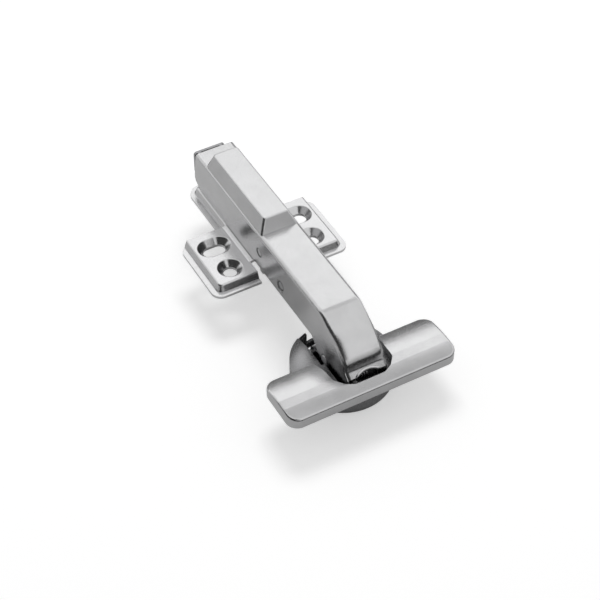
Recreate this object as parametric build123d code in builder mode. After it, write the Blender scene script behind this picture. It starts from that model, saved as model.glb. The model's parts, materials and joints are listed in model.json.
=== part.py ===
from build123d import *
import os
from math import atan2, cos, degrees, hypot, radians, sin

os.makedirs("parts", exist_ok=True)

# A concealed cup hinge for a door that lies in one plane with the panel beside it, shown closed.
# X runs along the arm towards the cup, Y along the hinge axis and Z away from the panel.
# The origin lies between the two round screw holes, on the plane the mounting plate stands on.

# Screw pattern of the mounting plate
HOLE_SPACING = 32.0
SLOT_X = -11.8
HOLE_D = 4.8
SEAT_D = 8.6
SEAT_TOP_Z = 3.5
SEAT_LOW_Z = 0.45
SEAT_RIM_R = 0.4
SLOT_STRETCH = 3.3
HOLE_WALL = 1.2

# Mounting plate, one stamping
PLATE_T = 1.0
RIM_W = 1.8
PLATEAU_RUN = 1.1
PLATEAU_CORNER_R = 2.4
PLATEAU_EDGE_R = 0.7
WING_Y = 25.9
WING_REAR_X = -19.1
WING_FRONT_X = 9.0
WING_CORNER_R = 3.6
TAIL_Y = 10.4
TAIL_REAR_X = -45.2
TAIL_CORNER_R = 5.0
NOTCH_Y = 8.6
CHANNEL_Y = 6.1
CHANNEL_TOP_Z = 10.5
CHANNEL_REAR_X = -38.5
CHANNEL_FRONT_X = 0.8
CHANNEL_TOP_FRONT_X = -4.6
ROOT_Y = 9.1
TAIL_ROOT_Y = 7.3
ROOT_RISE = 0.5
ROOT_STEP = 0.3
CHANNEL_EDGE_R = 1.4
WINDOW_X = (-28.0, -20.6)
WINDOW_Z = (3.7, 8.0)
WINDOW_R = 0.6
EAR_FRONT_X = 4.2
EAR_LOW_Z = 4.9
EAR_R = 1.0

# Arm, one pressed channel with a bent nose
ARM_T = 1.2
ARM_Y = 7.45
ARM_TOP_Z = 19.2
ARM_REAR_TOP_X = -41.4
ARM_REAR_X = -43.3
ARM_FOOT_X = -38.5
ARM_LOW_Z = 4.1
BEND_X = 46.9
BEND_R = 6.0
NOSE_MID = (57.2, 13.6)
NOSE_MID_R = 28.0
NOSE_BROW = (61.8, 9.2)
NOSE_BROW_R = 6.0
NOSE_LOW = (63.0, 6.2)
NOSE_LOW_R = 2.0
NOSE_END = (64.7, 4.5)
NOSE_ARCH = (5.6, 3.6, 5.4)
NOSE_WALL = [(63.4, 1.0), (60.6, -3.4), (55.6, -4.4), (49.0, -3.9), (46.6, -2.0), (41.6, 4.1)]
ARM_EDGE_R = 1.3
ARM_FOOT_RISE = 2.6
ARM_FOOT_R = 2.6
ARM_HEEL_R = 3.0
ARM_CHIN_R = 1.2
TAB_R = 1.0
TAB_X = (5.6, 8.4)
TAB_LOW_Z = 3.0
ARM_MARK = (5.2, 11.0)
ARM_MARK_R = 1.6
MARK_DEPTH = 0.15
TILT_MARK_W = 0.9
SLOT_CORNER_R = 1.2

# Arm cover
COVER_REAR_X = -35.4
COVER_FRONT_X = 6.4
COVER_Y = 7.0
COVER_H = 5.0
COVER_RUN = 2.4
COVER_T = 0.7
COVER_CORNER_R = 3.0
COVER_NOSE_R = 0.9
CORNER_LOSS = 0.8
COVER_EDGE_R = 0.5
CLIP_X = (-27.0, -5.0)
CLIP_Y = 4.5
CLIP_L = 4.0
CLIP_T = 0.8
CLIP_BARB = 0.5
CLIP_PLAY = 0.15

# Clip-on inner channel
SLIDE_T = 1.1
SLIDE_Y = 6.1
SLIDE_EAR_Y = 4.7
SLIDE_WALL_TOP_Z = 15.4
SLIDE_REAR_X = -42.0
SLIDE_WALL_FRONT_X = -6.0
SLIDE_WEB_REAR_X = -36.4
SLIDE_FRONT_X = 24.0
SLIDE_STEP = 3.0
SLIDE_WALL_R = 1.2
SLIDE_EAR_R = 1.8
EAR_REAR_X = -3.5
EAR_SLIDE_LOW_Z = 5.2
TILT_PIN = (20.1, 8.2)
TILT_PIN_R = 1.6
HOOK_PIN = (1.9, 7.4)
HOOK_PIN_R = 1.4
LEVER_PIN = (-39.6, 13.0)
LEVER_PIN_R = 1.0
PIN_CHAMFER = 0.2
PIN_SHORT = 0.15
DEPTH_TRAVEL = 2.0
FIT = 0.05

# Adjusting screws
CAM_X = -14.0
CAM_TURN = 60.0
CAM_SHAFT_R = 2.0
CAM_FOOT_R = 2.9
CAM_FOOT_H = 0.8
CAM_COLLAR_R = 2.6
CAM_DISC_R = 3.0
CAM_DISC_Z = (17.0, 19.8)
CAM_PLAY = 0.7
CAM_FOOT_PLAY = 0.4
SCREW_CHAMFER = 0.3
OVERLAY_X = 0.2
OVERLAY_R = 2.4
OVERLAY_TOP_Z = 20.8
OVERLAY_TIP = 0.8
RECESS_L = 3.2
RECESS_W = 0.8
RECESS_DEPTH = 1.3

# Release lever and its spring
LEVER_T = 1.0
LEVER_REAR_X = -46.2
LEVER_PLATE_Y = 6.0
LEVER_LOW_Z = 6.5
LEVER_TOP_Z = 16.0
LEVER_ARM_LOW_Z = 10.8
LEVER_ARM_Y = 4.7
LEVER_EYE_R = 2.1
LEVER_CORNER_R = 1.2
TONGUE_R = 0.8
TONGUE_TIP_X = -37.6
TONGUE_TOP_Z = 9.2
TONGUE_Y = 3.0
LEVER_COIL_W = 2.4
LEVER_COIL_R = 1.6
LEVER_WIRE_R = 0.3
COIL_TURNS = 3.25

# Axis of the cup, and the link pivots in the XZ plane with the door closed
CUP_X = 48.8
ARM_PIVOT_A = (49.9, 0.3)
ARM_PIVOT_B = (59.95, -0.17)
CUP_PIVOT_A = (CUP_X - 10.8, -10.3)
CUP_PIVOT_B = (CUP_X - 8.6, -5.8)
RIVET_R = 1.0
RIVET_HEAD_R = 1.9
RIVET_PROUD = 0.3
RIVET_TAPER = 30
BLIND_WALL = 0.5
OPEN_PIVOT_CLEARANCE = 1.15
EYE_WALL = 0.85
INNER_EYE_R = 2.0
INNER_LINK_Y = 4.6
OUTER_EYE_R = 2.1
OUTER_LINK_Y = 6.1
LINK_PLATE_T = 1.15
LINK_HALF_W = 1.5
LINK_T = 1.1
BRIDGE = (11.0, 16.5)
STUB_GAP = 0.15

# Closing spring and its sleeve
ROLLER_R = 1.6
ROLLER_END_GAP = 0.25
SPRING_WIRE_R = 0.45
SPRING_W = 3.2
SPRING_TURN_GAP = 0.15
SPRING_LEG_A = 4.0
SPRING_LEG_B = 8.0

# Cup, 35 mm system
CUP_R = 17.5
CUP_FLOOR_Z = -13.6
CUP_T = 1.0
SHOULDER_EDGE_Z = -4.2
SHOULDER_TOP_Z = -2.1
CUP_BASE_R = 4.1
CHEEK_T = 1.0
DOME_MID = (13.6, -2.75)
CORE_TOP_Z = -5.4
TAB_TOP_Z = -5.0
SLOT_Y = 4.6
POCKET_Y = 8.4
DOOR_Z = -0.7
FLANGE_T = 1.2
FLANGE_SCREW_X = 58.3
FLANGE_SCREW_Y = 22.5
FLANGE_SCREW_D = 4.2

# Cup cover
CAP_REAR_X = 50.6
CAP_FRONT_X = 70.5
CAP_Y = 31.0
CAP_T = 0.8
CAP_REAR_Z = 2.2
CAP_FRONT_Z = 3.2
CAP_CROWN = (61.0, 3.8)
CAP_CORNER_R = 4.2
CAP_EDGE_R = 0.7
CAP_SEAT = 0.1
MOUTH = [(56.0, 11.3), (61.6, 11.0), (64.7, 8.4), (66.2, 5.4)]
MOUTH_REAR_Y = 12.5
MOUTH_R = 2.0

# Overrun of a cut past the face it opens, reach of an unbounded cut and selection tolerance
OVERCUT = 1.0
FAR = 100.0
NEAR = 0.01

# Values that follow from the sizes above
PLATEAU_RISE = SEAT_TOP_Z - PLATE_T
PLATEAU_TILT = degrees(atan2(PLATEAU_RUN, PLATEAU_RISE))
HOLLOW_INSET = RIM_W + PLATE_T * (hypot(PLATEAU_RUN, PLATEAU_RISE) - PLATEAU_RUN) / PLATEAU_RISE
SEAT_DEPTH = PLATEAU_RISE - SEAT_LOW_Z
SEAT_TILT = degrees(atan2((SEAT_D - HOLE_D) / 2, SEAT_DEPTH))
SHEAR_MARGIN = PLATEAU_RUN + PLATEAU_EDGE_R + OVERCUT
CHANNEL_IN_Y = CHANNEL_Y - PLATE_T
ARM_IN_Y = ARM_Y - ARM_T
SLIDE_TOP_Z = CHANNEL_TOP_Z + SLIDE_T
CLIP_END_Z = ARM_TOP_Z - ARM_T - CLIP_BARB - 2 * CLIP_PLAY
FLANGE_REAR_X = CAP_REAR_X + CAP_T + CAP_SEAT
FLANGE_FRONT_X = CAP_FRONT_X - CAP_T - CAP_SEAT
FLANGE_Y = CAP_Y - CAP_T - CAP_SEAT
CAM_THROW = DEPTH_TRAVEL / sin(radians(CAM_TURN))
ARM_TAIL_X = ARM_REAR_X - 3 * ARM_T
SLOT_LOW_Z = CUP_FLOOR_Z + CUP_BASE_R - FIT


def plateau(x_from, x_to, half, inset, low, top, edge_r):
    """Raised field of the plate: a rounded rectangle with slanted walls and a soft upper edge."""
    with BuildPart() as field:
        with BuildSketch(Plane.XY.offset(low)):
            with Locations(((x_from + x_to) / 2, 0)):
                RectangleRounded(x_to - x_from - 2 * inset, 2 * (half - inset), PLATEAU_CORNER_R)
        extrude(amount=top - low, taper=PLATEAU_TILT)
        if edge_r > 0:
            fillet(field.faces().sort_by(Axis.Z)[-1].edges(), radius=edge_r)
    return field.part


def plate_rim(x_from, x_to, half, corner_r):
    """Flat rim that lies on the panel, as one solid plate."""
    with BuildPart() as rim:
        with BuildSketch():
            with Locations(((x_from + x_to) / 2, 0)):
                RectangleRounded(x_to - x_from, 2 * half, corner_r)
        extrude(amount=PLATE_T)
    return rim.part


def channel_run(x_from, x_to, half, top, foot_y, foot_z, corner_r):
    """Length of the raised channel, its foot ramped down to the flat beside it."""
    with BuildPart() as run:
        with BuildSketch(Plane.YZ.offset(x_from)):
            with BuildLine():
                Polyline((0, 0), (foot_y, 0), (foot_y, foot_z), (half, foot_z + ROOT_RISE), (half, top),
                         (0, top))
                mirror(about=Plane.YZ)
            make_face()
            tops = [v for v in vertices() if v.Y > top - NEAR and abs(v.X) > half - NEAR]
            fillet(tops, radius=corner_r)
        extrude(amount=x_to - x_from)
    return run.part


# Mounting plate: flat rim, raised wings and tail, channel and countersunk seats
PAN_REAR_X = WING_REAR_X - RIM_W - SHEAR_MARGIN
TAIL_JOIN_X = WING_REAR_X + 2 * TAIL_CORNER_R
HOLLOW_TOP_Z = SEAT_TOP_Z - PLATE_T
wing_rim = plate_rim(WING_REAR_X, WING_FRONT_X, WING_Y, WING_CORNER_R)
tail_rim = plate_rim(TAIL_REAR_X, TAIL_JOIN_X, TAIL_Y, TAIL_CORNER_R)
wing_field = plateau(PAN_REAR_X, WING_FRONT_X, WING_Y, RIM_W, PLATE_T, SEAT_TOP_Z, PLATEAU_EDGE_R)
tail_field = plateau(TAIL_REAR_X, TAIL_JOIN_X, TAIL_Y, RIM_W, PLATE_T, SEAT_TOP_Z, PLATEAU_EDGE_R)
wing_hollow = plateau(PAN_REAR_X, WING_FRONT_X, WING_Y, HOLLOW_INSET, 0, HOLLOW_TOP_Z, 0)
tail_hollow = plateau(TAIL_REAR_X, TAIL_JOIN_X, TAIL_Y, HOLLOW_INSET, 0, HOLLOW_TOP_Z, 0)
wing_run = channel_run(WING_REAR_X, CHANNEL_FRONT_X, CHANNEL_Y, CHANNEL_TOP_Z, ROOT_Y, SEAT_TOP_Z,
                       CHANNEL_EDGE_R)
tail_run = channel_run(CHANNEL_REAR_X, WING_REAR_X, CHANNEL_Y, CHANNEL_TOP_Z, TAIL_ROOT_Y, SEAT_TOP_Z,
                       CHANNEL_EDGE_R)
wing_void = channel_run(WING_REAR_X, CHANNEL_FRONT_X, CHANNEL_IN_Y, CHANNEL_TOP_Z - PLATE_T,
                        ROOT_Y - ROOT_STEP, SEAT_TOP_Z - PLATE_T, CHANNEL_EDGE_R / 2)
tail_void = channel_run(CHANNEL_REAR_X, WING_REAR_X, CHANNEL_IN_Y, CHANNEL_TOP_Z - PLATE_T,
                        TAIL_ROOT_Y - ROOT_STEP, SEAT_TOP_Z - PLATE_T, CHANNEL_EDGE_R / 2)

with BuildPart() as wing_shell:
    add(wing_rim)
    add(wing_field)
    add(wing_hollow, mode=Mode.SUBTRACT)
    with BuildSketch():
        with Locations(((WING_REAR_X + FAR) / 2, 0)):
            RectangleRounded(FAR - WING_REAR_X, 2 * WING_Y, WING_CORNER_R)
    extrude(amount=SEAT_TOP_Z, mode=Mode.INTERSECT)

with BuildPart() as wing_under:
    add(wing_hollow)
    with BuildSketch():
        with Locations(((WING_REAR_X + FAR) / 2, 0)):
            Rectangle(FAR - WING_REAR_X, 2 * WING_Y)
    extrude(amount=SEAT_TOP_Z, mode=Mode.INTERSECT)

with BuildPart() as mounting_plate:
    add(wing_shell.part)
    add(tail_rim)
    add(tail_field)
    add(wing_run)
    add(tail_run)
    add(wing_under.part, mode=Mode.SUBTRACT)
    add(tail_hollow, mode=Mode.SUBTRACT)
    add(wing_void, mode=Mode.SUBTRACT)
    add(tail_void, mode=Mode.SUBTRACT)
    # Front edge between the wings
    with BuildSketch():
        with Locations(((CHANNEL_FRONT_X + WING_FRONT_X + OVERCUT) / 2, 0)):
            Rectangle(WING_FRONT_X + OVERCUT - CHANNEL_FRONT_X, 2 * NOTCH_Y)
    extrude(amount=SEAT_TOP_Z + OVERCUT, mode=Mode.SUBTRACT)
    # Ears of the channel walls that the front cross pin hooks into
    with BuildSketch(Plane.XZ):
        with Locations(((CHANNEL_TOP_FRONT_X + EAR_FRONT_X) / 2, (EAR_LOW_Z + CHANNEL_TOP_Z) / 2)):
            Rectangle(EAR_FRONT_X - CHANNEL_TOP_FRONT_X, CHANNEL_TOP_Z - EAR_LOW_Z)
        fillet(vertices().group_by(Axis.X)[-1], radius=EAR_R)
    extrude(amount=CHANNEL_Y, both=True)
    with BuildSketch(Plane.XZ):
        with Locations(((HOOK_PIN[0] + EAR_FRONT_X + OVERCUT) / 2, HOOK_PIN[1])):
            Rectangle(EAR_FRONT_X + OVERCUT - HOOK_PIN[0], 2 * (HOOK_PIN_R + FIT))
        with Locations(HOOK_PIN):
            Circle(HOOK_PIN_R + FIT)
    extrude(amount=CHANNEL_Y, both=True, mode=Mode.SUBTRACT)
    with BuildSketch(Plane.XZ):
        with Locations(((CHANNEL_TOP_FRONT_X + EAR_FRONT_X + OVERCUT) / 2, (CHANNEL_TOP_Z + OVERCUT) / 2)):
            Rectangle(EAR_FRONT_X + OVERCUT - CHANNEL_TOP_FRONT_X, CHANNEL_TOP_Z + OVERCUT)
    extrude(amount=CHANNEL_IN_Y, both=True, mode=Mode.SUBTRACT)
    # Windows through the channel walls behind the wings
    with BuildSketch(Plane.XZ):
        with Locations(((WINDOW_X[0] + WINDOW_X[1]) / 2, (WINDOW_Z[0] + WINDOW_Z[1]) / 2)):
            RectangleRounded(WINDOW_X[1] - WINDOW_X[0], WINDOW_Z[1] - WINDOW_Z[0], WINDOW_R)
    extrude(amount=ROOT_Y, both=True, mode=Mode.SUBTRACT)
    # Clearance for the riveted foot of the depth cam
    with BuildSketch(Plane.XY.offset(CHANNEL_TOP_Z)):
        with Locations((CAM_X, 0)):
            Circle(CAM_FOOT_R + CAM_FOOT_PLAY)
    extrude(amount=-2 * PLATE_T, mode=Mode.SUBTRACT)
    # Pressed seats, each a ring below the flat
    with BuildSketch(Plane.XY.offset(SEAT_TOP_Z - PLATE_T - SEAT_DEPTH)):
        with Locations((0, HOLE_SPACING / 2), (0, -HOLE_SPACING / 2)):
            Circle(HOLE_D / 2 + HOLE_WALL)
        with Locations((SLOT_X, HOLE_SPACING / 2), (SLOT_X, -HOLE_SPACING / 2)):
            SlotCenterToCenter(SLOT_STRETCH, HOLE_D + 2 * HOLE_WALL, rotation=90)
    extrude(amount=SEAT_DEPTH, taper=-SEAT_TILT)
    with BuildSketch(Plane.XY.offset(SEAT_TOP_Z)):
        with Locations((0, HOLE_SPACING / 2), (0, -HOLE_SPACING / 2)):
            Circle(SEAT_D / 2)
        with Locations((SLOT_X, HOLE_SPACING / 2), (SLOT_X, -HOLE_SPACING / 2)):
            SlotCenterToCenter(SLOT_STRETCH, SEAT_D, rotation=90)
    extrude(amount=-SEAT_DEPTH, taper=SEAT_TILT, mode=Mode.SUBTRACT)
    with BuildSketch(Plane.XY.offset(SEAT_TOP_Z)):
        with Locations((0, HOLE_SPACING / 2), (0, -HOLE_SPACING / 2)):
            Circle(HOLE_D / 2)
        with Locations((SLOT_X, HOLE_SPACING / 2), (SLOT_X, -HOLE_SPACING / 2)):
            SlotCenterToCenter(SLOT_STRETCH, HOLE_D, rotation=90)
    extrude(amount=-SEAT_TOP_Z - OVERCUT, mode=Mode.SUBTRACT)
    top_edges = edges().filter_by_position(Axis.Z, SEAT_TOP_Z, SEAT_TOP_Z)
    seat_arcs = [e for e in top_edges.filter_by(GeomType.CIRCLE) if abs(e.radius - SEAT_D / 2) < NEAR]
    seat_sides = [e for e in top_edges.filter_by(GeomType.LINE) if abs(e.length - SLOT_STRETCH) < NEAR]
    fillet(seat_arcs + seat_sides, radius=SEAT_RIM_R)
mounting_plate.part.label = "mounting_plate"
export_step(mounting_plate.part, "parts/mounting_plate.step")

# Clip-on inner channel: trough behind, two ears between the plate's walls in front
with BuildPart() as base_slide:
    with BuildSketch(Plane.XZ):
        with BuildLine():
            Polyline((SLIDE_REAR_X, CHANNEL_TOP_Z), (SLIDE_WALL_FRONT_X + SLIDE_STEP, CHANNEL_TOP_Z),
                     (SLIDE_WALL_FRONT_X + SLIDE_STEP, SLIDE_TOP_Z), (SLIDE_WALL_FRONT_X, SLIDE_WALL_TOP_Z),
                     (SLIDE_REAR_X, SLIDE_WALL_TOP_Z), close=True)
        make_face()
        fillet(vertices().group_by(Axis.Y)[-1], radius=SLIDE_WALL_R)
    extrude(amount=SLIDE_Y, both=True)
    with BuildSketch(Plane.XZ):
        with Locations((0, SLIDE_TOP_Z + FAR / 2)):
            Rectangle(FAR, FAR)
    extrude(amount=SLIDE_Y - SLIDE_T, both=True, mode=Mode.SUBTRACT)
    with BuildSketch(Plane.XZ):
        with BuildLine():
            Polyline((SLIDE_WALL_FRONT_X, CHANNEL_TOP_Z), (EAR_REAR_X, CHANNEL_TOP_Z),
                     (EAR_REAR_X, EAR_SLIDE_LOW_Z), (SLIDE_FRONT_X, EAR_SLIDE_LOW_Z),
                     (SLIDE_FRONT_X, SLIDE_TOP_Z), (SLIDE_WALL_FRONT_X, SLIDE_TOP_Z), close=True)
        make_face()
        fillet(vertices().group_by(Axis.Y)[0], radius=SLIDE_EAR_R)
    extrude(amount=SLIDE_EAR_Y, both=True)
    with BuildSketch(Plane.XZ):
        with Locations(((EAR_REAR_X + SLIDE_FRONT_X) / 2, CHANNEL_TOP_Z / 2)):
            Rectangle(SLIDE_FRONT_X - EAR_REAR_X + 2 * OVERCUT, CHANNEL_TOP_Z)
    extrude(amount=SLIDE_EAR_Y - SLIDE_T, both=True, mode=Mode.SUBTRACT)
    # Room between the walls for the release lever
    with BuildSketch(Plane.XY.offset(CHANNEL_TOP_Z)):
        with Locations(((SLIDE_REAR_X - OVERCUT + SLIDE_WEB_REAR_X) / 2, 0)):
            Rectangle(SLIDE_WEB_REAR_X - SLIDE_REAR_X + OVERCUT, 2 * (SLIDE_Y - SLIDE_T))
        with Locations((CAM_X, 0)):
            Circle(CAM_SHAFT_R + FIT)
    extrude(amount=SLIDE_T, mode=Mode.SUBTRACT)
    with BuildSketch(Plane.XZ):
        with Locations(TILT_PIN):
            SlotCenterToCenter(2 * DEPTH_TRAVEL, 2 * (TILT_PIN_R + FIT))
        with Locations(HOOK_PIN):
            Circle(HOOK_PIN_R)
        with Locations(LEVER_PIN):
            Circle(LEVER_PIN_R)
    extrude(amount=SLIDE_Y, both=True, mode=Mode.SUBTRACT)
base_slide.part.label = "base_slide"
export_step(base_slide.part, "parts/base_slide.step")

# Cross pins of the arm side
with BuildPart() as front_hook_pin:
    with BuildSketch(Plane.XZ):
        with Locations(HOOK_PIN):
            Circle(HOOK_PIN_R)
    extrude(amount=CHANNEL_Y, both=True)
    chamfer(front_hook_pin.edges().filter_by(GeomType.CIRCLE), length=PIN_CHAMFER)
front_hook_pin.part.label = "front_hook_pin"
export_step(front_hook_pin.part, "parts/front_hook_pin.step")

with BuildPart() as tilt_pin:
    with BuildSketch(Plane.XZ):
        with Locations(TILT_PIN):
            Circle(TILT_PIN_R)
    extrude(amount=ARM_Y - PIN_SHORT, both=True)
    chamfer(tilt_pin.edges().filter_by(GeomType.CIRCLE), length=PIN_CHAMFER)
tilt_pin.part.label = "tilt_pin"
export_step(tilt_pin.part, "parts/tilt_pin.step")

with BuildPart() as lever_pin:
    with BuildSketch(Plane.XZ):
        with Locations(LEVER_PIN):
            Circle(LEVER_PIN_R)
    extrude(amount=SLIDE_Y, both=True)
    chamfer(lever_pin.edges().filter_by(GeomType.CIRCLE), length=PIN_CHAMFER)
lever_pin.part.label = "lever_pin"
export_step(lever_pin.part, "parts/lever_pin.step")

# Depth cam: an eccentric disc that turns in the cross slot of the arm
with BuildPart() as cam_screw:
    with BuildSketch(Plane.XY.offset(CHANNEL_TOP_Z - CAM_FOOT_H)):
        with Locations((CAM_X, 0)):
            Circle(CAM_FOOT_R)
    extrude(amount=CAM_FOOT_H)
    with BuildSketch(Plane.XY.offset(CHANNEL_TOP_Z)):
        with Locations((CAM_X, 0)):
            Circle(CAM_SHAFT_R)
    extrude(amount=CAM_DISC_Z[0] - CHANNEL_TOP_Z)
    with BuildSketch(Plane.XY.offset(SLIDE_TOP_Z)):
        with Locations((CAM_X, 0)):
            Circle(CAM_COLLAR_R)
    extrude(amount=CAM_DISC_Z[0] - SLIDE_TOP_Z)
    with BuildSketch(Plane.XY.offset(CAM_DISC_Z[0])):
        with Locations((CAM_X, CAM_THROW)):
            Circle(CAM_DISC_R)
    extrude(amount=CAM_DISC_Z[1] - CAM_DISC_Z[0])
    chamfer(cam_screw.edges().group_by(Axis.Z)[-1], length=SCREW_CHAMFER)
    with BuildSketch(Plane.XY.offset(CAM_DISC_Z[1])):
        with Locations((CAM_X, 0)):
            Rectangle(RECESS_L, RECESS_W)
            Rectangle(RECESS_W, RECESS_L)
    extrude(amount=-RECESS_DEPTH, mode=Mode.SUBTRACT)
cam_screw.part.label = "cam_screw"
export_step(cam_screw.part, "parts/cam_screw.step")

# Side adjusting screw, its tip on the inner channel
with BuildPart() as overlay_screw:
    with BuildSketch(Plane.XY.offset(SLIDE_TOP_Z)):
        with Locations((OVERLAY_X, 0)):
            Circle(OVERLAY_R)
    extrude(amount=OVERLAY_TOP_Z - SLIDE_TOP_Z)
    chamfer(overlay_screw.edges().group_by(Axis.Z)[0], length=OVERLAY_TIP)
    chamfer(overlay_screw.edges().group_by(Axis.Z)[-1], length=SCREW_CHAMFER)
    with BuildSketch(Plane.XY.offset(OVERLAY_TOP_Z)):
        with Locations((OVERLAY_X, 0)):
            Rectangle(RECESS_L, RECESS_W)
            Rectangle(RECESS_W, RECESS_L)
    extrude(amount=-RECESS_DEPTH, mode=Mode.SUBTRACT)
overlay_screw.part.label = "overlay_screw"
export_step(overlay_screw.part, "parts/overlay_screw.step")

# Release lever: one bent sheet with a rear plate, two side arms and a tongue under the channel top
with BuildPart() as release_lever:
    with BuildSketch(Plane.XZ):
        with BuildLine():
            Polyline((LEVER_REAR_X + LEVER_T, LEVER_ARM_LOW_Z), (LEVER_PIN[0], LEVER_PIN[1] - LEVER_EYE_R),
                     (LEVER_PIN[0], LEVER_PIN[1] + LEVER_EYE_R), (LEVER_REAR_X + LEVER_T, LEVER_TOP_Z),
                     (LEVER_REAR_X, LEVER_TOP_Z), (LEVER_REAR_X, LEVER_ARM_LOW_Z), close=True)
        make_face()
        with Locations(LEVER_PIN):
            Circle(LEVER_EYE_R)
    extrude(amount=LEVER_ARM_Y, both=True)
    with BuildSketch(Plane.XZ):
        with Locations((LEVER_REAR_X + LEVER_T + FAR / 2, LEVER_PIN[1])):
            Rectangle(FAR, FAR)
    extrude(amount=LEVER_ARM_Y - LEVER_T, both=True, mode=Mode.SUBTRACT)
    with BuildSketch(Plane.YZ.offset(LEVER_REAR_X)):
        with Locations((0, (LEVER_LOW_Z + LEVER_TOP_Z) / 2)):
            RectangleRounded(2 * LEVER_PLATE_Y, LEVER_TOP_Z - LEVER_LOW_Z, LEVER_CORNER_R)
    extrude(amount=LEVER_T)
    with BuildSketch(Plane.XY.offset(TONGUE_TOP_Z - LEVER_T)):
        with Locations(((LEVER_REAR_X + TONGUE_TIP_X) / 2, 0)):
            Rectangle(TONGUE_TIP_X - LEVER_REAR_X, 2 * TONGUE_Y)
        fillet(vertices().group_by(Axis.X)[-1], radius=TONGUE_R)
    extrude(amount=LEVER_T)
    with BuildSketch(Plane.XZ):
        with Locations(LEVER_PIN):
            Circle(LEVER_PIN_R + FIT)
    extrude(amount=LEVER_ARM_Y, both=True, mode=Mode.SUBTRACT)
release_lever.part.label = "release_lever"
export_step(release_lever.part, "parts/release_lever.step")

# Torsion spring of the lever, wound on its pin
def wound_spring(coil_r, wire_r, width, turns, leg_in, leg_out):
    """Coil round Z, starting on X and running towards Y, with a straight leg at each end."""
    with BuildPart() as spring:
        with BuildLine() as path:
            coil = Helix(pitch=width / turns, height=width, radius=coil_r, center=(0, 0, -width / 2))
            Line(coil @ 0 - (coil % 0) * leg_in, coil @ 0)
            Line(coil @ 1, coil @ 1 + (coil % 1) * leg_out)
        start = (coil @ 0) - (coil % 0) * leg_in
        with BuildSketch(Plane(origin=start, z_dir=coil % 0)):
            Circle(wire_r)
        sweep(path=path.line)
    return spring.part


lever_coil = wound_spring(LEVER_COIL_R, LEVER_WIRE_R, LEVER_COIL_W, COIL_TURNS,
                          LEVER_PIN[0] - LEVER_REAR_X - LEVER_T, LEVER_PIN[1] - CHANNEL_TOP_Z)
with BuildPart() as lever_spring:
    with Locations(Plane(origin=(LEVER_PIN[0], 0, LEVER_PIN[1]), x_dir=(0, 0, 1), z_dir=(0, 1, 0))):
        add(lever_coil)
lever_spring.part.label = "lever_spring"
export_step(lever_spring.part, "parts/lever_spring.step")

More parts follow.
